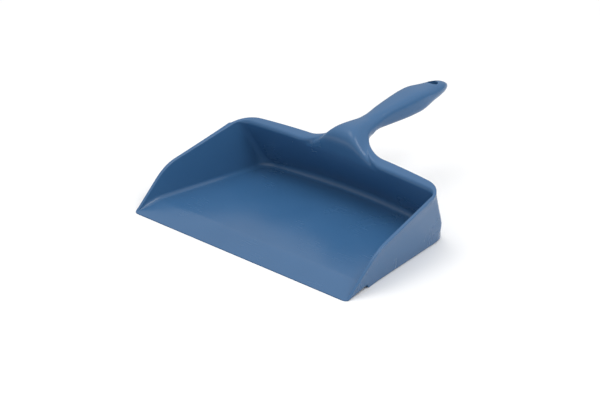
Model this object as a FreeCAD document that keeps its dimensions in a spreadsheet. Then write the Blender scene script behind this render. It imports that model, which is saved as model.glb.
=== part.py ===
import FreeCAD, Part
import math
import os
import Sketcher

# One-piece moulded dustpan: a raised floor with a thin ramp in front, leaning walls on three
# sides, a flanged rim, and a handle that grows out of a hump in the middle of the back wall.
# Everything is drawn with Y = 0 at the front lip, +Y towards the handle and Z = 0 on the ground;
# each finished region is then moved so that the origin lies under the middle of the pan.

# Driving dimensions in millimetres, angles in degrees.
SIZES = {
    "overall_length": 355.6,
    "lip_half_width": 165.0,
    "lip_corner_radius": 5.5,
    "lip_thickness": 1.0,
    "ramp_length": 33.0,
    "floor_top": 8.0,
    "floor_underside": 5.0,
    "foot_start": 41.6,
    "wall_across": 3.1,
    "side_taper": 8.07,
    "floor_fillet": 6.0,
    "form_height": 100.0,
    "form_depth": 12.0,
    "form_reach": 240.0,
    "corner_start": 148.0,
    "corner_half_width": 98.0,
    "rim_start": 1.3,
    "rim_bend": 50.4,
    "rim_front_slope": 41.7,
    "rim_rear_slope": 14.0,
    "rim_bend_radius": 60.0,
    "rim_depth": 5.5,
    "hole_radius": 6.3,
    "hole_centre": 330.0,
    "hole_rounding": 1.2,
}

# Plan outlines that the forms are lofted between, on the ground and at the form height: name,
# half width at the lip line, rearmost point, radius of the bowed back, radius of the corners.
OUTLINES = [
    ("wall_low", 165.0, 214.0, 555.0, 12.0),
    ("wall_high", 181.2, 152.0, 10000.0, 16.0),
    ("hollow_low", 161.8, 210.4, 555.0, 11.0),
    ("hollow_high", 178.0, 148.4, 10000.0, 14.0),
    ("rim_low", 165.0, 203.0, 1000.0, 34.5),
    ("rim_high", 183.9, 175.1, 1000.0, 34.5),
]

# Handle stations: name, distance from the lip, half width, half height, height of the middle.
NECK_STATIONS = [
    ("hump_front", 163.0, 46.0, 10.0, 72.0),
    ("hump_roll", 172.0, 41.0, 15.5, 75.5),
    ("hump_back", 183.0, 32.0, 16.8, 80.0),
    ("neck_flare", 194.0, 23.5, 14.2, 84.9),
    ("neck_middle", 206.0, 16.5, 12.4, 88.2),
    ("neck_end", 218.0, 13.0, 10.5, 91.2),
]
GRIP_STATIONS = [
    NECK_STATIONS[-1],
    ("grip_waist", 232.0, 12.6, 10.2, 93.4),
    ("grip_front", 255.0, 14.7, 11.6, 95.4),
    ("grip_swell", 288.0, 17.6, 13.3, 98.0),
    ("grip_back", 315.0, 16.0, 11.6, 99.9),
    ("grip_end", 337.0, 11.4, 8.8, 100.8),
    ("grip_nose", 350.0, 6.2, 5.0, 100.4),
    ("grip_tip", 355.6, 1.6, 1.3, 99.8),
]

MIDDLE = "-Sizes.overall_length / 2"
UP = FreeCAD.Vector(0, 0, 1)


# ---------------------------------------------------------------- small helpers

def make_sheet(doc):
    """Write every driving dimension to a named cell of its own."""
    sheet = doc.addObject("Spreadsheet::Sheet", "Sizes")
    cells = dict(SIZES)
    for name, half_width, crown, bow, corner in OUTLINES:
        cells[name + "_half_width"] = half_width
        cells[name + "_crown"] = crown
        cells[name + "_bow"] = bow
        cells[name + "_corner"] = corner
    for name, station, half_width, half_height, level in NECK_STATIONS + GRIP_STATIONS:
        cells[name + "_station"] = station
        cells[name + "_half_width"] = half_width
        cells[name + "_half_height"] = half_height
        cells[name + "_level"] = level
    for row, (alias, value) in enumerate(cells.items(), start=1):
        sheet.set(f"A{row}", alias)
        sheet.set(f"B{row}", str(value))
        sheet.setAlias(f"B{row}", alias)
    doc.recompute()


def value_of(obj, expression):
    """Number that a sheet expression gives now."""
    result = obj.evalExpression(expression)
    return float(getattr(result, "Value", result))


def tangent_of(alias):
    return f"tan(Sizes.{alias} * 1 deg)"


def new_sketch(body, name, role):
    sketch = body.newObject("Sketcher::SketchObject", name)
    plane = next(item for item in body.Origin.OriginFeatures if item.Role == role)
    sketch.AttachmentSupport = [(plane, "")]
    sketch.MapMode = "FlatFace"
    return sketch


def dimension(sketch, kind, references, expression, unit=1.0):
    """Add a driving dimension that follows a sheet expression."""
    start = value_of(sketch, expression) * unit
    index = sketch.addConstraint(Sketcher.Constraint(kind, *references, start))
    sketch.setExpression(f"Constraints[{index}]", expression)


def join_ends(sketch, pairs):
    for first, first_end, second, second_end in pairs:
        sketch.addConstraint(Sketcher.Constraint("Coincident", first, first_end, second, second_end))


def box(doc, name, low, high):
    """Block between two corners, each given as three sheet expressions."""
    block = doc.addObject("Part::Box", name)
    for axis, size, start, end in zip("xyz", ("Length", "Width", "Height"), low, high):
        block.setExpression(f".Placement.Base.{axis}", start)
        block.setExpression(size, f"({end}) - ({start})")
    return block


def combine(doc, kind, name, shapes):
    result = doc.addObject(kind, name)
    result.Shapes = shapes
    return result


def common(doc, name, *shapes):
    return combine(doc, "Part::MultiCommon", name, list(shapes))


def cut(doc, name, base, *tools):
    """Base with every tool taken away."""
    tool = tools[0]
    if len(tools) > 1:
        tool = combine(doc, "Part::MultiFuse", name + "_tools", list(tools))
    result = doc.addObject("Part::Cut", name)
    result.Base = base
    result.Tool = tool
    return result


# ---------------------------------------------------------------- construction forms

def outline_sketch(body, name, outline, level, front):
    """Plan outline of a form at one level: straight front and sides, bowed back, round corners."""
    sketch = new_sketch(body, name, "XY_Plane")
    sketch.setExpression(".AttachmentOffset.Base.z", level)
    half_width = f"Sizes.{outline}_half_width - ({front}) * tan(Sizes.side_taper * 1 deg)"
    centre = f"Sizes.{outline}_crown - Sizes.{outline}_bow"
    front_y = value_of(sketch, front)
    front_x = value_of(sketch, half_width)
    centre_y = value_of(sketch, centre)
    radius = value_of(sketch, f"Sizes.{outline}_bow")
    corner_radius = value_of(sketch, f"Sizes.{outline}_corner")
    slope = math.tan(math.radians(SIZES["side_taper"]))
    outward = FreeCAD.Vector(1, slope, 0).normalize()
    corner_y = front_y
    for _ in range(40):
        corner_x = front_x - slope * (corner_y - front_y) - corner_radius / outward.x
        corner_y = centre_y + math.sqrt((radius - corner_radius) ** 2 - corner_x ** 2)
    corner_centre = FreeCAD.Vector(corner_x, corner_y, 0)
    side_end = corner_centre + outward * corner_radius
    side_angle = math.atan2(outward.y, outward.x)
    back_angle = math.atan2(corner_y - centre_y, corner_x)
    mirrored = FreeCAD.Vector(-corner_x, corner_y, 0)
    back_circle = Part.Circle(FreeCAD.Vector(0, centre_y, 0), UP, radius)
    sketch.addGeometry([
        Part.LineSegment(FreeCAD.Vector(-front_x, front_y, 0), FreeCAD.Vector(front_x, front_y, 0)),
        Part.LineSegment(FreeCAD.Vector(front_x, front_y, 0), side_end),
        Part.ArcOfCircle(Part.Circle(corner_centre, UP, corner_radius), side_angle, back_angle),
        Part.ArcOfCircle(back_circle, back_angle, math.pi - back_angle),
        Part.ArcOfCircle(Part.Circle(mirrored, UP, corner_radius),
                         math.pi - back_angle, math.pi - side_angle),
        Part.LineSegment(FreeCAD.Vector(-side_end.x, side_end.y, 0),
                         FreeCAD.Vector(-front_x, front_y, 0)),
    ], False)
    join_ends(sketch, [(0, 2, 1, 1), (5, 2, 0, 1)])
    for first in range(1, 5):
        sketch.addConstraint(Sketcher.Constraint("Tangent", first, 2, first + 1, 1))
    sketch.addConstraint(Sketcher.Constraint("Symmetric", 0, 1, 0, 2, -2))
    sketch.addConstraint(Sketcher.Constraint("Symmetric", 1, 2, 5, 1, -2))
    sketch.addConstraint(Sketcher.Constraint("Equal", 2, 4))
    dimension(sketch, "DistanceY", (-1, 1, 0, 2), front)
    dimension(sketch, "DistanceX", (-1, 1, 0, 2), half_width)
    dimension(sketch, "Angle", (1,), "(90 + Sizes.side_taper) * 1 deg", math.radians(1))
    dimension(sketch, "Radius", (2,), f"Sizes.{outline}_corner")
    dimension(sketch, "Radius", (3,), f"Sizes.{outline}_bow")
    dimension(sketch, "DistanceY", (-1, 1, 3, 3), centre)
    return sketch


def add_fillet(doc, body, base, edges, radius):
    fillet = body.newObject("PartDesign::Fillet", body.Label + "_rounding")
    fillet.Base = (base, edges)
    fillet.setExpression("Radius", radius)
    body.Tip = fillet
    doc.recompute()
    return fillet


def pan_form(doc, name, outlines, front="0"):
    """Leaning block between the low and the high outline of one form."""
    body = doc.addObject("PartDesign::Body", name)
    low = outline_sketch(body, name + "_low", outlines + "_low", "0", front)
    high = outline_sketch(body, name + "_high", outlines + "_high", "Sizes.form_height", front)
    loft = body.newObject("PartDesign::AdditiveLoft", name + "_loft")
    loft.Profile = low
    loft.Sections = [high]
    loft.Ruled = True
    body.Tip = loft
    doc.recompute()
    return body, loft


def lip_corner_waste(doc, side, sign):
    """What the small rounding at one end of the lip takes away, seen from above."""
    inner_x = "(Sizes.lip_half_width - Sizes.lip_corner_radius)"
    outer_x = "Sizes.form_reach"
    low_x, high_x = (inner_x, outer_x) if sign > 0 else ("-" + outer_x, "-" + inner_x)
    block = box(doc, f"{side}_lip_block", (low_x, "-Sizes.form_depth", "-Sizes.form_depth"),
                (high_x, "Sizes.lip_corner_radius", "Sizes.form_depth"))
    round_bar = doc.addObject("Part::Cylinder", f"{side}_lip_bar")
    round_bar.setExpression("Radius", "Sizes.lip_corner_radius")
    round_bar.setExpression("Height", "Sizes.form_depth * 3")
    round_bar.setExpression(".Placement.Base.x", f"{sign} * {inner_x}")
    round_bar.setExpression(".Placement.Base.y", "Sizes.lip_corner_radius")
    round_bar.setExpression(".Placement.Base.z", "-Sizes.form_depth * 1.5")
    return cut(doc, f"{side}_lip_waste", block, round_bar)


def polygon_sketch(body, name, points):
    """Closed side-view outline through points given as pairs of sheet expressions."""
    sketch = new_sketch(body, name, "YZ_Plane")
    corners = [FreeCAD.Vector(value_of(sketch, y), value_of(sketch, z), 0) for y, z in points]
    count = len(corners)
    sketch.addGeometry([
        Part.LineSegment(corners[number], corners[(number + 1) % count]) for number in range(count)
    ], False)
    join_ends(sketch, [(number, 2, (number + 1) % count, 1) for number in range(count)])
    for number, (y, z) in enumerate(points):
        dimension(sketch, "DistanceX", (-1, 1, number, 1), y)
        dimension(sketch, "DistanceY", (-1, 1, number, 1), z)
    return sketch


def pad_across(body, sketch):
    """Extrude a side-view outline to both sides, past the whole width of the pan."""
    pad = body.newObject("PartDesign::Pad", body.Label + "_pad")
    pad.Profile = sketch
    pad.SideType = "Symmetric"
    pad.setExpression("Length", "Sizes.lip_half_width * 3")
    body.Tip = pad


def floor_line_at_front():
    """Height of the ramp's upper face, carried on to the front of the inner form."""
    return (f"Sizes.lip_thickness - Sizes.form_depth"
            f" * (Sizes.floor_top - Sizes.lip_thickness) / Sizes.ramp_length")


def hollow_form(doc):
    """Space inside the pan: the inner form above ramp and floor, with a rounded foot."""
    body, loft = pan_form(doc, "hollow_form", "hollow", "-Sizes.form_depth")
    ground = polygon_sketch(body, "hollow_form_ground", [
        ("-Sizes.form_depth * 2", "-Sizes.form_depth * 2"),
        ("Sizes.form_reach", "-Sizes.form_depth * 2"),
        ("Sizes.form_reach", "Sizes.floor_top"),
        ("Sizes.ramp_length", "Sizes.floor_top"),
        ("-Sizes.form_depth", floor_line_at_front()),
        ("-Sizes.form_depth * 2", floor_line_at_front()),
    ])
    pocket = body.newObject("PartDesign::Pocket", "hollow_form_pocket")
    pocket.Profile = ground
    pocket.SideType = "Symmetric"
    pocket.setExpression("Length", "Sizes.lip_half_width * 3")
    doc.recompute()
    if pocket.Shape.Volume > loft.Shape.Volume * 0.98:
        raise RuntimeError("the ground pocket cut nothing from the hollow form")
    foot = []
    for number, edge in enumerate(pocket.Shape.Edges, start=1):
        bounds = edge.BoundBox
        if bounds.ZMax < SIZES["floor_top"] + 0.1 and bounds.YLength > 1:
            foot.append(f"Edge{number}")
    add_fillet(doc, body, pocket, foot, "Sizes.floor_fillet")
    return body


def below_rim(doc, name, drop):
    """Everything below the rim line, lowered by drop: a steep front run bent into a flat one."""
    body = doc.addObject("PartDesign::Body", name)
    sketch = new_sketch(body, name + "_profile", "YZ_Plane")
    front_y = f"Sizes.rim_start - Sizes.form_depth * 2 / {tangent_of('rim_front_slope')}"
    floor_z = f"-Sizes.form_depth * 2 - ({drop})"
    rear_z = (f"(Sizes.rim_bend - Sizes.rim_start) * {tangent_of('rim_front_slope')} - ({drop})"
              f" + (Sizes.form_reach - Sizes.rim_bend) * {tangent_of('rim_rear_slope')}")
    bend_z = f"(Sizes.rim_bend - Sizes.rim_start) * {tangent_of('rim_front_slope')} - ({drop})"
    front = FreeCAD.Vector(value_of(sketch, front_y), value_of(sketch, floor_z), 0)
    rear = FreeCAD.Vector(SIZES["form_reach"], value_of(sketch, rear_z), 0)
    under = FreeCAD.Vector(rear.x, front.y, 0)
    bend = FreeCAD.Vector(SIZES["rim_bend"], value_of(sketch, bend_z), 0)
    steep = math.radians(SIZES["rim_front_slope"])
    flat = math.radians(SIZES["rim_rear_slope"])
    radius = SIZES["rim_bend_radius"]
    reach = radius * math.tan((steep - flat) / 2)
    arc_front = bend - FreeCAD.Vector(math.cos(steep), math.sin(steep), 0) * reach
    arc_rear = bend + FreeCAD.Vector(math.cos(flat), math.sin(flat), 0) * reach
    centre = arc_front + FreeCAD.Vector(math.sin(steep), -math.cos(steep), 0) * radius
    quarter = math.pi / 2
    sketch.addGeometry([
        Part.LineSegment(front, arc_front),
        Part.ArcOfCircle(Part.Circle(centre, UP, radius), quarter + flat, quarter + steep),
        Part.LineSegment(arc_rear, rear),
        Part.LineSegment(rear, under),
        Part.LineSegment(under, front),
    ], False)
    join_ends(sketch, [(2, 2, 3, 1), (3, 2, 4, 1), (4, 2, 0, 1)])
    sketch.addConstraint(Sketcher.Constraint("Tangent", 0, 2, 1, 2))
    sketch.addConstraint(Sketcher.Constraint("Tangent", 1, 1, 2, 1))
    sketch.addConstraint(Sketcher.Constraint("Vertical", 3))
    sketch.addConstraint(Sketcher.Constraint("Horizontal", 4))
    dimension(sketch, "DistanceX", (-1, 1, 0, 1), front_y)
    dimension(sketch, "DistanceY", (-1, 1, 0, 1), floor_z)
    dimension(sketch, "DistanceX", (-1, 1, 2, 2), "Sizes.form_reach")
    dimension(sketch, "DistanceY", (-1, 1, 2, 2), rear_z)
    dimension(sketch, "Angle", (0,), "Sizes.rim_front_slope * 1 deg", math.radians(1))
    dimension(sketch, "Radius", (1,), "Sizes.rim_bend_radius")
    pad_across(body, sketch)
    return body


def handle_loft(doc, name, stations):
    """Smooth body through upright ellipses, one at each station."""
    sections = []
    for station in stations:
        alias = station[0]
        ring = doc.addObject("Part::Ellipse", f"{name}_{alias}")
        ring.Placement.Rotation = FreeCAD.Rotation(FreeCAD.Vector(1, 0, 0), 90)
        ring.setExpression("MajorRadius", f"Sizes.{alias}_half_width")
        ring.setExpression("MinorRadius", f"Sizes.{alias}_half_height")
        ring.setExpression(".Placement.Base.y", f"Sizes.{alias}_station")
        ring.setExpression(".Placement.Base.z", f"Sizes.{alias}_level")
        sections.append(ring)
    loft = doc.addObject("Part::Loft", name)
    loft.Sections = sections
    loft.Solid = True
    loft.Ruled = False
    return loft


# ---------------------------------------------------------------- regions of the pan

def lip_ramp(doc, outer, wastes):
    """Thin wedge that rises from the sharp lip to the floor."""
    body = doc.addObject("PartDesign::Body", "ramp_wedge")
    pad_across(body, polygon_sketch(body, "ramp_wedge_profile", [
        ("0", "0"),
        ("Sizes.ramp_length", "Sizes.floor_underside"),
        ("Sizes.ramp_length", "Sizes.floor_top"),
        ("0", "Sizes.lip_thickness"),
    ]))
    return cut(doc, "lip_ramp", common(doc, "square_ramp", outer, body), *wastes)


def pan_floor(doc, outer):
    """Level plate from the end of the ramp to the outside of the back wall."""
    slab = box(doc, "floor_slab", ("-Sizes.form_reach", "Sizes.ramp_length", "Sizes.floor_underside"),
               ("Sizes.form_reach", "Sizes.form_reach", "Sizes.floor_top"))
    return common(doc, "pan_floor", outer, slab)


def feet(doc, outer, inner):
    """Low skirt under the floor that the pan stands on: two sides, the rear and the front."""
    low, top = "0", "Sizes.floor_underside"
    wide = "Sizes.form_reach"
    slabs = {
        "left_foot": box(doc, "left_foot_region", ("-" + wide, "Sizes.foot_start", low),
                         ("0", "Sizes.corner_start", top)),
        "right_foot": box(doc, "right_foot_region", ("0", "Sizes.foot_start", low),
                          (wide, "Sizes.corner_start", top)),
        "rear_foot": box(doc, "rear_foot_region", ("-" + wide, "Sizes.corner_start", low),
                         (wide, wide, top)),
    }
    pieces = [
        cut(doc, name, common(doc, name + "_block", outer, slab), inner)
        for name, slab in slabs.items()
    ]
    front = box(doc, "front_foot_region", ("-" + wide, "Sizes.foot_start", low),
                (wide, "Sizes.foot_start + Sizes.wall_across", top))
    pieces.append(common(doc, "front_foot", inner, front))
    return pieces


def wall_regions(doc):
    """Plan regions that share the walls and the rim out: sides, rear corners and back."""
    wide, top = "Sizes.form_reach", "Sizes.form_height"
    corner_y, corner_x = "Sizes.corner_start", "Sizes.corner_half_width"
    return {
        "left_side": box(doc, "left_side_region", ("-" + wide, "0", "0"), ("0", corner_y, top)),
        "right_side": box(doc, "right_side_region", ("0", "0", "0"), (wide, corner_y, top)),
        "left_corner": box(doc, "left_corner_region", ("-" + wide, corner_y, "0"),
                           ("-" + corner_x, wide, top)),
        "right_corner": box(doc, "right_corner_region", (corner_x, corner_y, "0"), (wide, wide, top)),
        "back": box(doc, "back_region", ("-" + corner_x, corner_y, "0"), (corner_x, wide, top)),
    }


def walls(doc, outer, hollow, ground, under_band, wastes, regions):
    """Leaning walls between the floor and the rim."""
    shell = cut(doc, "wall_shell", common(doc, "wall_block", outer, under_band), hollow, ground, *wastes)
    names = {
        "left_side": "left_side_wall",
        "right_side": "right_side_wall",
        "left_corner": "left_rear_corner",
        "right_corner": "right_rear_corner",
        "back": "back_wall",
    }
    return {place: common(doc, name, shell, regions[place]) for place, name in names.items()}


def rims(doc, rim, hollow, ground, under_rim, under_band, wastes, neck_body, regions):
    """Flanged edge on top of the walls, interrupted by the hump."""
    block = common(doc, "rim_block", rim, under_rim)
    band = cut(doc, "rim_band", block, hollow, ground, under_band, *wastes)
    pieces = []
    for side, low, high in (("left", "-Sizes.form_reach", "0"), ("right", "0", "Sizes.form_reach")):
        pieces.append(common(doc, f"{side}_side_rim", band, regions[f"{side}_side"]))
        rear = box(doc, f"{side}_rear_rim_region", (low, "Sizes.corner_start", "0"),
                   (high, "Sizes.form_reach", "Sizes.form_height"))
        whole = common(doc, f"{side}_rear_rim_whole", band, rear)
        pieces.append(cut(doc, f"{side}_rear_rim", whole, neck_body))
    return pieces


def grip(doc):
    """Swelling grip with a hanging hole through its end."""
    body = handle_loft(doc, "grip_body", GRIP_STATIONS)
    drill = doc.addObject("Part::Cylinder", "hanging_hole")
    drill.setExpression("Radius", "Sizes.hole_radius")
    drill.setExpression("Height", "Sizes.form_height")
    drill.setExpression(".Placement.Base.y", "Sizes.hole_centre")
    drill.setExpression(".Placement.Base.z", "Sizes.form_depth")
    drilled = cut(doc, "drilled_grip", body, drill)
    doc.recompute()
    rounding = doc.addObject("Part::Fillet", "grip")
    rounding.Base = drilled
    radius = SIZES["hole_rounding"]
    width = 2 * SIZES["hole_radius"]
    rounding.Edges = [
        (number, radius, radius)
        for number, edge in enumerate(drilled.Shape.Edges, start=1)
        if abs(edge.BoundBox.XLength - width) < 0.1 and edge.BoundBox.YLength > width / 3
    ]
    return rounding


# ---------------------------------------------------------------- document

def check(objects):
    """Stop if any object failed."""
    for obj in objects:
        if "Invalid" in obj.State or "Error" in obj.State:
            raise RuntimeError(f"{obj.Label} did not recompute: {obj.State}")


def check_nodes(nodes):
    """Stop if any region is not one valid solid."""
    for node in nodes:
        shape = node.Shape
        if shape.isNull() or not shape.isValid() or len(shape.Solids) != 1:
            raise RuntimeError(f"{node.Label}: {len(shape.Solids)} solids, valid {shape.isValid()}")
        print(f"{node.Label:20s} {shape.Volume:10.0f} mm3  {shape.BoundBox}")


def main():
    doc = FreeCAD.newDocument("dustpan")
    make_sheet(doc)
    outer = pan_form(doc, "outer_form", "wall")[0]
    rim = pan_form(doc, "rim_form", "rim")[0]
    inner = pan_form(doc, "inner_form", "hollow", "-Sizes.form_depth")[0]
    hollow = hollow_form(doc)
    under_rim = below_rim(doc, "under_rim", "0")
    under_band = below_rim(doc, "under_band", "Sizes.rim_depth")
    regions = wall_regions(doc)
    ground = doc.addObject("PartDesign::Body", "ground_form")
    pad_across(ground, polygon_sketch(ground, "ground_profile", [
        ("-Sizes.form_depth", "-Sizes.form_depth * 2"),
        ("Sizes.form_reach", "-Sizes.form_depth * 2"),
        ("Sizes.form_reach", "Sizes.floor_top"),
        ("Sizes.ramp_length", "Sizes.floor_top"),
        ("-Sizes.form_depth", floor_line_at_front()),
    ]))
    neck_body = handle_loft(doc, "neck_body", NECK_STATIONS)
    wastes = [lip_corner_waste(doc, "left", -1), lip_corner_waste(doc, "right", 1)]
    wall_pieces = walls(doc, outer, hollow, ground, under_band, wastes, regions)
    nodes = [lip_ramp(doc, outer, wastes), pan_floor(doc, outer)]
    nodes += feet(doc, outer, inner)
    nodes += wall_pieces.values()
    nodes += rims(doc, rim, hollow, ground, under_rim, under_band, wastes, neck_body, regions)
    nodes.append(cut(doc, "handle_neck", neck_body, hollow, wall_pieces["back"]))
    nodes.append(grip(doc))
    doc.recompute()
    for node in nodes:
        node.setExpression(".Placement.Base.y", MIDDLE)
    doc.recompute()
    check(doc.Objects)
    check_nodes(nodes)
    os.makedirs("parts", exist_ok=True)
    for node in nodes:
        node.Shape.exportStep(f"parts/{node.Label}.step")


main()
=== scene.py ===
import math
import bmesh
import bpy
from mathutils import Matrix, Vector


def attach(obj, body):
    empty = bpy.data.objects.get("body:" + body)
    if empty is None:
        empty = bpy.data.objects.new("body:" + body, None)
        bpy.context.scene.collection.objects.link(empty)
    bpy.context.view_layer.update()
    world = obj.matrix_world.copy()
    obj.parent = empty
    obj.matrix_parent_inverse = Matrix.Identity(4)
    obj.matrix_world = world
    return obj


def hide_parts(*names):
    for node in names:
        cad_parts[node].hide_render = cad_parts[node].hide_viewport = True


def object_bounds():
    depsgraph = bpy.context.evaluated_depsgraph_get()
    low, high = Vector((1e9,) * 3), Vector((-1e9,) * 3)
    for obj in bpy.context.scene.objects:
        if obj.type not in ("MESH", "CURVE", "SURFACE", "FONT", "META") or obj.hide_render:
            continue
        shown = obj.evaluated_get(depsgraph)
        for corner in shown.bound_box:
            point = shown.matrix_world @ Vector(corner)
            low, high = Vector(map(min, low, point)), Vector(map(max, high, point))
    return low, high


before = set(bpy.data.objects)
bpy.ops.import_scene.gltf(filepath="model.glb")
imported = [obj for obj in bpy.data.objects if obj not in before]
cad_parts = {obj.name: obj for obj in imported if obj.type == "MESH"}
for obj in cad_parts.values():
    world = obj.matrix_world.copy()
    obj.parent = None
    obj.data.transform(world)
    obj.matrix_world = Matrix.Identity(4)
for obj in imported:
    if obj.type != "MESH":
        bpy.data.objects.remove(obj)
cad_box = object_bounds()

# The modelled surface is laid out in millimetres with y = 0 at the lip, like the CAD source.
LIP_Y = cad_box[0][1] * 1000

# Lip, ramp and floor.
LIP_HALF = 165.0
LIP_CORNER = 5.5
LIP_THICKNESS = 1.0
RAMP_LENGTH = 33.0
CREASE_DEPTH = 0.25
CREASE_SLOPE = 0.1
FLOOR_TOP = 8.0
FLOOR_UNDERSIDE = 5.0
FLOOR_FILLET = 6.0

# Skirt under the floor.
FOOT_START = 41.6
FOOT_EASE_BEFORE = 2.4
FOOT_EASE_LENGTH = 3.2
SKIRT_WIDTH = 1.5

# Walls.
SIDE_SLOPE = math.tan(math.radians(8.07))
WALL_ACROSS = 3.1
CORNER_SCOOP = 22.0
SCOOP_HEIGHT = 27.0
FORM_HEIGHT = 100.0

# Rim: a steep front run, a bend and a nearly flat rear run.
RIM_START = 1.3
RIM_BEND = 50.4
RIM_BEND_REACH = 14.7
STEEP = math.tan(math.radians(41.7))
FLAT = math.tan(math.radians(14.0))
RIM_DEPTH = 5.5

# Radii of the edges, from the sides to the back where they differ.
SIDE_RIM_ROUND = 1.1
BACK_RIM_ROUND = 4.0
EDGE_ROUND = 0.9
FLANGE_ROUND = 0.6
FRONT_BASE_ROUND = 0.4
SIDE_BASE_ROUND = 3.0
BACK_BASE_ROUND = 5.0
BASE_ROUND_RUN = 20
ROUND_SHARE = 0.3
THIN = 0.05

# Steps in each rounding of an edge section, and heights of the rows between them.
FILLET_STEPS = 5
RIM_STEPS = 4
EDGE_STEPS = 3
FLANGE_STEPS = 2
BASE_STEPS = 6
INNER_SHARES = (0.1, 0.22, 0.38, 0.62, 0.9)
OUTER_SHARES = (0.2, 0.4, 0.55, 0.7, 0.8, 0.9)

# Rows between which the section opens for the hump: top of the inner wall, top of the outer one.
INNER_WALL_ROW = FILLET_STEPS + len(INNER_SHARES)
OUTER_ROW = INNER_WALL_ROW + (RIM_STEPS + 1) + (EDGE_STEPS + 1) + (FLANGE_STEPS + 1) + 1

# Stretches of the pan's edge along which stations are counted.
SIDE_LENGTH = 165.0
BACK_HALF = 125.0
CORNER_COLUMNS = 12
BACK_COLUMNS = 9

# Hump, neck and hanging hole.
HUMP_HALF = 55.0
HUMP_COLUMNS = 10
HUMP_STEPS = 14
SOFTEN_TURNS = 10
SOFTEN_MARGIN = 7
SOFTEN_FRONT = 150
SOFTEN_LEVEL = 66
NECK_Y = 212.0
RING_SPLIT = 55.0
RING_SPACING = 2.4
HOLE_RADIUS = 6.3
HOLE_Y = 330.0
HOLE_LEVEL = 0.1
HOLE_EDGE = 0.0011

# Linear colours that the plastic drifts between.
BLUE_DARK = (0.038, 0.118, 0.255, 1.0)
BLUE_LIGHT = (0.044, 0.131, 0.278, 1.0)

# Plan outlines on the ground and 100 mm up: half width, crown, radius of the back, corner radius.
WALL = ((165.0, 214.0, 555.0, 6.0), (181.2, 152.0, 10000.0, 14.0))
HOLLOW = ((161.8, 210.4, 555.0, 8.0), (178.0, 148.4, 10000.0, 12.0))
RIM = ((165.0, 203.0, 1000.0, 34.5), (183.9, 175.1, 1000.0, 34.5))

# Handle: distance from the lip, half width, half height, height of the middle.
GRIP = [
    (212.0, 14.3, 11.4, 89.5), (216.0, 13.5, 10.8, 90.6), (220.0, 13.0, 10.4, 91.5),
    (225.0, 12.7, 10.2, 92.4), (230.0, 12.6, 10.1, 93.1), (240.0, 13.1, 10.5, 94.2),
    (255.0, 14.6, 11.7, 95.4), (270.0, 16.1, 12.7, 96.5), (285.0, 17.1, 13.3, 97.7),
    (300.0, 17.1, 13.2, 98.7), (315.0, 15.5, 11.8, 99.5), (322.0, 14.4, 10.9, 99.9),
    (330.0, 12.9, 9.9, 100.2), (340.0, 10.4, 8.2, 100.4), (345.0, 8.5, 6.9, 100.2),
    (349.0, 6.5, 5.4, 100.0), (352.0, 4.6, 3.9, 99.8), (354.2, 2.8, 2.4, 99.6),
    (355.3, 1.3, 1.1, 99.5), (355.6, 0.5, 0.4, 99.5),
]


# ------------------------------------------------------------------ surface of the pan

def blend(low, high, share):
    return low + (high - low) * share


def ease(share):
    """Smooth step from 0 to 1."""
    share = min(1.0, max(0.0, share))
    return share * share * (3 - 2 * share)


def rim_height(y):
    """Height of the rim's top: a steep front run bent smoothly into a nearly flat one."""
    bend_z = (RIM_BEND - RIM_START) * STEEP
    if y < RIM_BEND - RIM_BEND_REACH:
        return (y - RIM_START) * STEEP
    if y > RIM_BEND + RIM_BEND_REACH:
        return bend_z + (y - RIM_BEND) * FLAT
    share = (y - RIM_BEND + RIM_BEND_REACH) / (2 * RIM_BEND_REACH)
    start = bend_z - RIM_BEND_REACH * STEEP
    end = bend_z + RIM_BEND_REACH * FLAT
    return (1 - share) ** 2 * start + 2 * share * (1 - share) * bend_z + share ** 2 * end


def floor_height(y):
    """Upper face of ramp and floor, with the crease between them slightly eased."""
    ramp = LIP_THICKNESS + (FLOOR_TOP - LIP_THICKNESS) * y / RAMP_LENGTH
    return min(ramp, FLOOR_TOP) - max(0.0, CREASE_DEPTH - CREASE_SLOPE * abs(y - RAMP_LENGTH))


def underside_height(y):
    return min(FLOOR_UNDERSIDE, FLOOR_UNDERSIDE * y / RAMP_LENGTH)


def bottom_height(y):
    """Lowest edge of the walls: the underside in front, then down on to the skirt."""
    return underside_height(y) * (1 - ease((y - FOOT_START + FOOT_EASE_BEFORE) / FOOT_EASE_LENGTH))


def lip_limit(y):
    """Largest half width that the rounded ends of the lip allow at y."""
    if y >= LIP_CORNER:
        return 1000.0
    return LIP_HALF - LIP_CORNER + math.sqrt(LIP_CORNER ** 2 - (LIP_CORNER - y) ** 2)


def outline_at(outline, z):
    """Half width, crown, back curvature and corner radius of an outline at one height."""
    share = z / FORM_HEIGHT
    low, high = outline
    curvature = blend(1 / low[2], 1 / high[2], share)
    corner = blend(low[3], high[3], share)
    if outline is not RIM:
        corner += CORNER_SCOOP * (1 - ease(z / SCOOP_HEIGHT))
    return blend(low[0], high[0], share), blend(low[1], high[1], share), 1 / curvature, corner


def corner_of(half_width, crown, bow, corner):
    """Centre of the rear corner's arc."""
    outward = Vector((1.0, SIDE_SLOPE)).normalized()
    centre_y = crown - bow
    y = crown - corner
    for _ in range(40):
        x = half_width - SIDE_SLOPE * y - corner / outward.x
        y = centre_y + math.sqrt((bow - corner) ** 2 - x ** 2)
    return Vector((x, y)), outward


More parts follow.
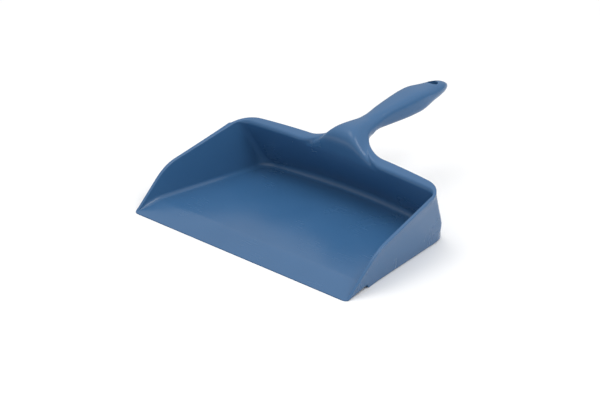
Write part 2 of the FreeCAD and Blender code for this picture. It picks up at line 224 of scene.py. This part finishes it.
def plan_point(outline, station, z):
    """Point and outward direction on an outline: station is (zone, value)."""
    half_width, crown, bow, corner = outline_at(outline, z)
    centre, outward = corner_of(half_width, crown, bow, corner)
    back = (centre - Vector((0.0, crown - bow))).normalized()
    zone, value = station
    if zone == "side":
        side_end = centre + outward * corner
        y = blend(value, value / SIDE_LENGTH * side_end.y, (value / SIDE_LENGTH) ** 3)
        x = min(half_width - SIDE_SLOPE * y, lip_limit(y))
        return Vector((x, y, z)), outward.to_3d()
    if zone == "corner":
        start = math.atan2(outward.y, outward.x)
        end = math.atan2(back.y, back.x)
        angle = blend(start, end, value)
        direction = Vector((math.cos(angle), math.sin(angle)))
        return (centre + direction * corner).to_3d() + Vector((0, 0, z)), direction.to_3d()
    end_x = centre.x + back.x * corner
    reach = max(0.0, (value - HUMP_HALF) / (BACK_HALF - HUMP_HALF))
    x = value if value <= HUMP_HALF else blend(HUMP_HALF, end_x, reach)
    y = crown - bow + math.sqrt(bow ** 2 - x ** 2)
    direction = Vector((x, y - crown + bow, 0.0)).normalized()
    return Vector((x, y, z)), direction


def meet_rim(outline, station, drop=0.0):
    """Where an outline's leaning face reaches the rim's top face, lowered by drop."""
    z = 40.0
    for _ in range(30):
        point, outward = plan_point(outline, station, max(z, 0.0))
        z = rim_height(point.y) - drop
    return point, outward, z


def arc(start, corner, end, weight, count):
    """Points strictly inside a circular arc given by its tangent polygon."""
    points = []
    for number in range(1, count):
        t = number / count
        a, b, c = (1 - t) ** 2, 2 * t * (1 - t) * weight, t ** 2
        points.append((start * a + corner * b + end * c) / (a + b + c))
    return points


def rounded_corner(corner, before, after, radius, count, limit):
    """Points of a rounding between two directions that leave a corner."""
    if min(before.length, after.length) < 0.001 or limit < 0.002:
        return [corner.copy() for _ in range(count + 1)]
    half = before.angle(after) / 2
    reach = min(radius / math.tan(half), limit)
    start = corner + before * reach
    end = corner + after * reach
    return [start] + arc(start, corner, end, math.sin(half), count) + [end]


def zone_share(station):
    """0 on the sides, 1 on the back, in between round the corner."""
    return {"side": 0.0, "corner": station[1], "back": 1.0}[station[0]]


def between(outline, station, start, end, shares):
    """Points of a leaning face at heights between two of its points."""
    return [plan_point(outline, station, blend(start.z, end.z, share))[0] for share in shares]


def profile(station):
    """One section through the pan's edge: floor, inner wall, rim, outer wall, foot."""
    rear = zone_share(station)
    y_here = plan_point(HOLLOW, station, 0.0)[0].y
    floor_z = floor_height(y_here)
    top_in, outward, _ = meet_rim(HOLLOW, station)
    height = max(top_in.z - floor_z, 0.02)
    base = plan_point(HOLLOW, station, floor_z)[0]
    if height < THIN:
        top_in = base + Vector((0, 0, 0.02))
    above = plan_point(HOLLOW, station, blend(floor_z, top_in.z, 0.12))[0]
    up = (above - base).normalized() if height > THIN else Vector((0, 0, 1))
    inward = -outward
    top_out = meet_rim(RIM, station)[0]
    if top_out.z < top_in.z and station[0] == "side":
        top_out.z = top_in.z
    across = top_out - top_in
    width = max(across.length, 0.01)
    across = across / width if width > THIN else outward.copy()
    foot = rounded_corner(base, inward, up, FLOOR_FILLET, FILLET_STEPS, height * 0.45)
    round_in = blend(SIDE_RIM_ROUND, BACK_RIM_ROUND, rear)
    lip_in = rounded_corner(top_in, -up, across, round_in, RIM_STEPS,
                            min(height * ROUND_SHARE, width * 0.4))
    flange_low = meet_rim(RIM, station, RIM_DEPTH)[0]
    wall_top = meet_rim(WALL, station, RIM_DEPTH)[0]
    low_z = min(bottom_height(y_here), floor_z - 0.5)
    if flange_low.z < low_z + 0.3:
        flange_low = plan_point(RIM, station, low_z + 0.3)[0]
        wall_top = plan_point(WALL, station, low_z + 0.3)[0]
    down = flange_low - top_out
    down = down.normalized() if down.length > THIN else Vector((0, 0, -1))
    lip_out = rounded_corner(top_out, -across, down, EDGE_ROUND, EDGE_STEPS,
                             min(width * ROUND_SHARE,
                                 (top_out.z - flange_low.z) * ROUND_SHARE + 0.01))
    flange = rounded_corner(flange_low, -down, (wall_top - flange_low).normalized(),
                            FLANGE_ROUND, FLANGE_STEPS,
                            min(FLANGE_ROUND,
                                (wall_top - flange_low).length * ROUND_SHARE + 0.001))
    bottom = plan_point(WALL, station, low_z)[0]
    rise = plan_point(WALL, station, blend(low_z, wall_top.z, 0.15))[0] - bottom
    round_low = blend(FRONT_BASE_ROUND, SIDE_BASE_ROUND,
                      ease((y_here - FOOT_START) / BASE_ROUND_RUN))
    round_low = blend(round_low, BACK_BASE_ROUND, rear)
    base_round = rounded_corner(bottom, rise.normalized(), inward, round_low, BASE_STEPS,
                                (wall_top - bottom).length * ROUND_SHARE)
    skirt = base_round[-1] + inward * SKIRT_WIDTH
    middle = between(WALL, station, wall_top, base_round[0], OUTER_SHARES)
    inner_middle = between(HOLLOW, station, foot[-1], lip_in[0], INNER_SHARES)
    skirt_top = skirt.copy()
    skirt_top.z = FLOOR_UNDERSIDE
    points = foot + inner_middle + lip_in + lip_out + flange + [wall_top] + middle + base_round
    points += [skirt, skirt_top]
    return points


def stations():
    """Right half of the pan's edge, from the lip round the rear corner to the middle."""
    fronts = [0.0, 0.35, 1.0, 1.9, 2.6, 3.0, 3.3, 3.7, 4.2, 4.9, 5.6, 6.6, 8.0, 10.0, 12.5, 15.5,
              19.0, 23.0, 27.0, 30.5, 32.0, 33.0, 34.0, 35.5, 37.5, 39.2, 39.8, 40.4, 41.0, 41.6,
              42.4, 44.7, 48.0, 51.5, 55.0, 58.5, 62.0, 66.0, 72.0, 80.0, 90.0, 100.0, 110.0,
              120.0, 130.0, 140.0, 150.0, 158.0, SIDE_LENGTH]
    listed = [("side", value) for value in fronts]
    listed += [("corner", number / CORNER_COLUMNS) for number in range(1, CORNER_COLUMNS + 1)]
    listed += [("back", blend(BACK_HALF, HUMP_HALF, number / BACK_COLUMNS))
               for number in range(1, BACK_COLUMNS)]
    listed += [("back", HUMP_HALF * number / HUMP_COLUMNS)
               for number in range(HUMP_COLUMNS, -1, -1)]
    return listed


# ------------------------------------------------------------------ handle

def ring_angles(count_upper, count_side):
    """Angles from the top round the right side of a handle section to its underside."""
    flank = 180.0 - 2 * RING_SPLIT
    upper = [RING_SPLIT * number / (count_upper - 1) for number in range(count_upper)]
    side = [RING_SPLIT + flank * number / (count_side + 1) for number in range(1, count_side + 1)]
    lower = [180.0 - RING_SPLIT + RING_SPLIT * number / (count_upper - 1)
             for number in range(count_upper)]
    return [math.radians(angle) for angle in upper + side + lower]


def handle_value(y, column):
    """Smooth interpolation in the grip table."""
    last = len(GRIP) - 1
    place = 0
    while place < last - 1 and GRIP[place + 1][0] < y:
        place += 1
    rows = [GRIP[min(max(place + step, 0), last)] for step in (-1, 0, 1, 2)]
    t = (y - rows[1][0]) / (rows[2][0] - rows[1][0])
    span = rows[2][0] - rows[1][0]
    start = (rows[2][column] - rows[0][column]) / (rows[2][0] - rows[0][0]) * span
    end_width = rows[3][0] - rows[1][0]
    end = (rows[3][column] - rows[1][column]) / end_width * span
    a, b = rows[1][column], rows[2][column]
    return (a * (1 + 2 * t) * (1 - t) ** 2 + start * t * (1 - t) ** 2
            + b * t * t * (3 - 2 * t) + end * t * t * (t - 1))


def squareness(y):
    """How far the grip's section departs from an ellipse towards flat faces with soft edges."""
    return 0.55 * ease((y - 222.0) / 22.0) * (1 - ease((y - 292.0) / 30.0))


def ring_point(y, angle):
    power = 1 / (1 + squareness(y))
    sine, cosine = math.sin(angle), math.cos(angle)
    across = abs(sine) ** power
    upright = math.copysign(abs(cosine) ** power, cosine)
    return Vector((handle_value(y, 1) * across, y,
                   handle_value(y, 3) + handle_value(y, 2) * upright))


def bezier(a, b, c, d, t):
    return a * (1 - t) ** 3 + b * 3 * t * (1 - t) ** 2 + c * 3 * t * t * (1 - t) + d * t ** 3


# ------------------------------------------------------------------ mesh

class HalfMesh:
    """Collects faces of the right half; the left half is their mirror image."""

    def __init__(self):
        self.points = []
        self.faces = []

    def face(self, corners):
        start = len(self.points)
        self.points.extend(corners)
        self.faces.append(tuple(range(start, start + len(corners))))

    def grid(self, rows, skip=None):
        """Quads between neighbouring rows of equal length."""
        for number in range(len(rows) - 1):
            here, there = rows[number], rows[number + 1]
            for place in range(len(here) - 1):
                if skip and skip(number, place):
                    continue
                self.face([here[place], there[place], there[place + 1], here[place + 1]])

    def build(self, name):
        mesh = bmesh.new()
        for sign in (1, -1):
            verts = [mesh.verts.new((sign * point.x, point.y, point.z)) for point in self.points]
            for face in self.faces:
                mesh.faces.new([verts[index] for index in face])
        bmesh.ops.remove_doubles(mesh, verts=mesh.verts, dist=0.012)
        soften_hump(mesh)
        bmesh.ops.dissolve_degenerate(mesh, edges=mesh.edges, dist=0.008)
        bmesh.ops.recalc_face_normals(mesh, faces=mesh.faces)
        for vert in mesh.verts:
            vert.co = Vector((vert.co.x, vert.co.y + LIP_Y, vert.co.z)) / 1000
        data = bpy.data.meshes.new(name)
        mesh.to_mesh(data)
        mesh.free()
        piece = bpy.data.objects.new(name, data)
        bpy.context.scene.collection.objects.link(piece)
        return piece


def soften_hump(mesh):
    """Relax the run from the rim to the neck so that its flanks flow into the rim."""
    for turn in range(SOFTEN_TURNS):
        reach = HUMP_HALF + SOFTEN_MARGIN - turn
        verts = [vert for vert in mesh.verts if abs(vert.co.x) < reach
                 and SOFTEN_FRONT < vert.co.y < NECK_Y - 3 and vert.co.z > SOFTEN_LEVEL]
        bmesh.ops.smooth_vert(mesh, verts=verts, factor=0.5,
                              use_axis_x=True, use_axis_y=True, use_axis_z=True)


def on_axis(point):
    return Vector((0.0, point.y, point.z))


def pan_sections():
    """All edge sections, with the floor's border set on the floor itself."""
    sections = []
    for station in stations():
        section = profile(station)
        section[0].z = floor_height(section[0].y)
        sections.append(section)
    return sections


def add_pan(half, sections, hump_start):
    """Floor, walls, rim and skirt, with an opening where the hump grows out of the back."""
    listed = stations()
    ramp_end = next(index for index, item in enumerate(listed) if item[1] > RAMP_LENGTH + 2.6)
    hollow_start = next(index for index, item in enumerate(listed)
                        if item[1] > FOOT_START + WALL_ACROSS - 0.1)
    skirt, skirt_top = len(sections[0]) - 2, len(sections[0]) - 1

    def left_open(number, place):
        if number >= hump_start and INNER_WALL_ROW <= place < OUTER_ROW:
            return True
        return place == skirt and number < hollow_start

    half.grid(sections, left_open)
    first = sections[0]
    half.face([on_axis(first[0])] + first[:skirt_top] + [on_axis(first[skirt])])
    for number in range(ramp_end):
        a, b = sections[number][0], sections[number + 1][0]
        half.face([on_axis(a), a, b, on_axis(b)])
    half.face([on_axis(sections[ramp_end][0])] + [section[0] for section in sections[ramp_end:]])
    for number in range(hollow_start):
        a, b = sections[number][skirt], sections[number + 1][skirt]
        half.face([on_axis(a), a, b, on_axis(b)])
    low, high = sections[hollow_start][skirt], sections[hollow_start][skirt_top]
    half.face([on_axis(low), low, high, on_axis(high)])
    half.face([on_axis(high)] + [section[skirt_top] for section in sections[hollow_start:]])


def hump_loop(sections, hump_start):
    """Border of the opening: inner wall outwards, round the rim's end, outer wall inwards."""
    columns = sections[hump_start:]
    upper = [section[INNER_WALL_ROW] for section in reversed(columns)]
    side = [columns[0][row] for row in range(INNER_WALL_ROW + 1, OUTER_ROW)]
    lower = [section[OUTER_ROW] for section in columns]
    return upper, side, lower


def hump_directions(upper, side, lower):
    """How each border point of the opening sets off, and how it arrives at the neck."""
    setting_off = []
    for point in upper:
        share = abs(point.x) / HUMP_HALF
        climb = 47.0 - 37.0 * ease((share - 0.35) / 0.65)
        lean = blend(-0.36, -0.55, share)
        setting_off.append((Vector((-13.0 * share ** 3, lean * climb, climb)), 22.0))
    for number in range(len(side)):
        share = min(1.0, number / (len(side) - 1) * 2)
        inwards = Vector((-blend(14.0, 20.0, share), 0.4, blend(5.0, 3.0, share)))
        setting_off.append((inwards, 19.0))
    for point in lower:
        share = abs(point.x) / HUMP_HALF
        setting_off.append((Vector((-12.0 * share ** 2, 1.5, blend(9.0, 3.0, share))), 17.0))
    return setting_off


def add_handle(half, sections, hump_start):
    """Hump, neck and grip as one run of rings that starts on the opening in the back wall."""
    upper, side, lower = hump_loop(sections, hump_start)
    angles = ring_angles(len(upper), len(side))
    starts = upper + side + lower
    directions = hump_directions(upper, side, lower)
    rings = []
    for step in range(HUMP_STEPS + 1):
        t = step / HUMP_STEPS
        ring = []
        for start, angle, (off, arrive) in zip(starts, angles, directions):
            end = ring_point(NECK_Y, angle)
            slope = Vector((0.0, -arrive, 0.02 * arrive))
            ring.append(bezier(start, start + off, end + slope, end, t))
        rings.append(ring)
    for y in handle_steps():
        rings.append([ring_point(y, angle) for angle in angles])
    half.grid(rings)
    half.face(rings[-1])


def handle_steps():
    """Ring positions along the grip, closer together towards the rounded tip."""
    steps = []
    for (y, *_), (following, *_) in zip(GRIP, GRIP[1:]):
        count = max(1, round((following - y) / RING_SPACING))
        steps += [blend(y, following, number / count) for number in range(1, count + 1)]
    return steps


def drill_hole(piece):
    """Cut the hanging hole and round its two edges."""
    drill = bmesh.new()
    bmesh.ops.create_cone(drill, cap_ends=True, segments=48, radius1=HOLE_RADIUS / 1000,
                          radius2=HOLE_RADIUS / 1000, depth=0.06)
    bmesh.ops.translate(drill, verts=drill.verts, vec=(0, (HOLE_Y + LIP_Y) / 1000, HOLE_LEVEL))
    data = bpy.data.meshes.new("drill")
    drill.to_mesh(data)
    drill.free()
    cutter = bpy.data.objects.new("drill", data)
    bpy.context.scene.collection.objects.link(cutter)
    modifier = piece.modifiers.new("hole", "BOOLEAN")
    modifier.operation = "DIFFERENCE"
    modifier.solver = "EXACT"
    modifier.object = cutter
    bpy.context.view_layer.update()
    evaluated = piece.evaluated_get(bpy.context.evaluated_depsgraph_get())
    cut_data = bpy.data.meshes.new_from_object(evaluated)
    piece.modifiers.clear()
    piece.data = cut_data
    bpy.data.objects.remove(cutter)
    mesh = bmesh.new()
    mesh.from_mesh(cut_data)
    centre = Vector((0.0, (HOLE_Y + LIP_Y) / 1000))
    border = []
    for edge in mesh.edges:
        distances = [(vert.co.xy - centre).length for vert in edge.verts]
        on_hole = all(abs(distance * 1000 - HOLE_RADIUS) < 0.05 for distance in distances)
        if on_hole and len(edge.link_faces) == 2 and edge.calc_face_angle(0.0) > 0.6:
            border.append(edge)
    bmesh.ops.bevel(mesh, geom=border, offset=HOLE_EDGE, segments=3, profile=0.5,
                    affect="EDGES", clamp_overlap=True)
    mesh.to_mesh(cut_data)
    mesh.free()


def make_dustpan():
    sections = pan_sections()
    hump_start = len(sections) - HUMP_COLUMNS - 1
    half = HalfMesh()
    add_pan(half, sections, hump_start)
    add_handle(half, sections, hump_start)
    piece = half.build("dustpan")
    drill_hole(piece)
    for polygon in piece.data.polygons:
        polygon.use_smooth = True
    weighted = piece.modifiers.new("even_shading", "WEIGHTED_NORMAL")
    weighted.weight = 60
    weighted.keep_sharp = True
    return piece


# ------------------------------------------------------------------ material

def plastic():
    """Satin blue plastic: faint moulding grain, and an uneven gloss with fine scuffs."""
    material = bpy.data.materials.new("blue_plastic")
    material.use_nodes = True
    nodes, links = material.node_tree.nodes, material.node_tree.links
    shader = nodes["Principled BSDF"]
    shader.inputs["IOR"].default_value = 1.49
    shader.inputs["Specular IOR Level"].default_value = 0.42
    place = nodes.new("ShaderNodeTexCoord")

    def noise(scale, detail, stretch=None):
        texture = nodes.new("ShaderNodeTexNoise")
        texture.inputs["Scale"].default_value = scale
        texture.inputs["Detail"].default_value = detail
        source = place.outputs["Object"]
        if stretch:
            mapping = nodes.new("ShaderNodeMapping")
            mapping.inputs["Scale"].default_value = stretch
            links.new(source, mapping.inputs["Vector"])
            source = mapping.outputs["Vector"]
        links.new(source, texture.inputs["Vector"])
        return texture.outputs["Fac"]

    def spread(value, low, high, start=0.3, end=0.7):
        ranged = nodes.new("ShaderNodeMapRange")
        ranged.inputs["From Min"].default_value = start
        ranged.inputs["From Max"].default_value = end
        ranged.inputs["To Min"].default_value = low
        ranged.inputs["To Max"].default_value = high
        links.new(value, ranged.inputs["Value"])
        return ranged.outputs["Result"]

    def combine(first, second, operation):
        maths = nodes.new("ShaderNodeMath")
        maths.operation = operation
        links.new(first, maths.inputs[0])
        links.new(second, maths.inputs[1])
        return maths.outputs["Value"]

    tint = nodes.new("ShaderNodeMix")
    tint.data_type = "RGBA"
    tint.inputs["A"].default_value = BLUE_DARK
    tint.inputs["B"].default_value = BLUE_LIGHT
    links.new(spread(noise(9.0, 3.0), 0.0, 1.0), tint.inputs["Factor"])
    links.new(tint.outputs["Result"], shader.inputs["Base Color"])
    clouds = spread(noise(22.0, 4.0), 0.21, 0.28)
    scuffs = spread(noise(60.0, 2.0, (1.0, 9.0, 1.0)), 0.0, 0.012, 0.52, 0.66)
    links.new(combine(clouds, scuffs, "ADD"), shader.inputs["Roughness"])
    bump = nodes.new("ShaderNodeBump")
    bump.inputs["Strength"].default_value = 0.05
    bump.inputs["Distance"].default_value = 0.0004
    links.new(combine(noise(260.0, 1.0), spread(noise(14.0, 1.0), 0.0, 1.5), "ADD"),
              bump.inputs["Height"])
    links.new(bump.outputs["Normal"], shader.inputs["Normal"])
    return material


# ------------------------------------------------------------------ studio

def add_camera():
    """Long lens from the front right and a little above."""
    azimuth = math.radians(43.30)
    elevation = math.radians(24.78)
    distance = 2.816
    target = Vector((0.0027, LIP_Y / 1000 + 0.100, 0.0353))
    back = Vector((math.sin(azimuth) * math.cos(elevation),
                   -math.cos(azimuth) * math.cos(elevation),
                   math.sin(elevation)))
    data = bpy.data.cameras.new("photo_camera")
    data.lens = 150
    data.sensor_width = 36
    data.clip_end = 20
    camera = bpy.data.objects.new("photo_camera", data)
    camera.location = target + back * distance
    camera.rotation_euler = back.to_track_quat("Z", "Y").to_euler()
    bpy.context.scene.collection.objects.link(camera)
    bpy.context.scene.camera = camera


def add_floor():
    mesh = bpy.data.meshes.new("floor")
    size = 6
    mesh.from_pydata([(-size, -size, 0), (size, -size, 0), (size, size, 0), (-size, size, 0)], [],
                     [(0, 1, 2, 3)])
    floor = bpy.data.objects.new("floor", mesh)
    bpy.context.scene.collection.objects.link(floor)
    material = bpy.data.materials.new("floor_white")
    material.use_nodes = True
    shader = material.node_tree.nodes["Principled BSDF"]
    shader.inputs["Base Color"].default_value = (0.93, 0.93, 0.93, 1)
    shader.inputs["Roughness"].default_value = 0.9
    mesh.materials.append(material)


def add_light(name, location, size, power, target=(0, 0, 0.03)):
    data = bpy.data.lights.new(name, "AREA")
    data.shape = "DISK"
    data.size = size
    data.energy = power
    light = bpy.data.objects.new(name, data)
    light.location = location
    light.rotation_euler = (Vector(location) - Vector(target)).to_track_quat("Z", "Y").to_euler()
    bpy.context.scene.collection.objects.link(light)


def add_world(strength):
    """Soft white studio: brightest overhead, dimmer towards the horizon."""
    world = bpy.data.worlds.new("studio")
    world.use_nodes = True
    nodes, links = world.node_tree.nodes, world.node_tree.links
    direction = nodes.new("ShaderNodeTexCoord")
    axes = nodes.new("ShaderNodeSeparateXYZ")
    fall = nodes.new("ShaderNodeMapRange")
    fall.inputs["From Min"].default_value = 0.0
    fall.inputs["From Max"].default_value = 0.75
    fall.inputs["To Min"].default_value = 0.30
    fall.inputs["To Max"].default_value = 1.0
    links.new(direction.outputs["Generated"], axes.inputs["Vector"])
    links.new(axes.outputs["Z"], fall.inputs["Value"])
    links.new(fall.outputs["Result"], nodes["Background"].inputs["Color"])
    nodes["Background"].inputs["Strength"].default_value = strength
    bpy.context.scene.world = world
    bpy.context.scene.view_settings.view_transform = "Standard"


add_camera()
add_floor()
add_world(strength=1.02)
add_light("key", location=(-0.5, -0.4, 1.9), size=1.2, power=6)
add_light("fill", location=(0.9, 0.1, 1.5), size=0.9, power=7)
dustpan = make_dustpan()
dustpan.data.materials.clear()
dustpan.data.materials.append(plastic())
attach(dustpan, "root")
for node_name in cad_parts:
    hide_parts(node_name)
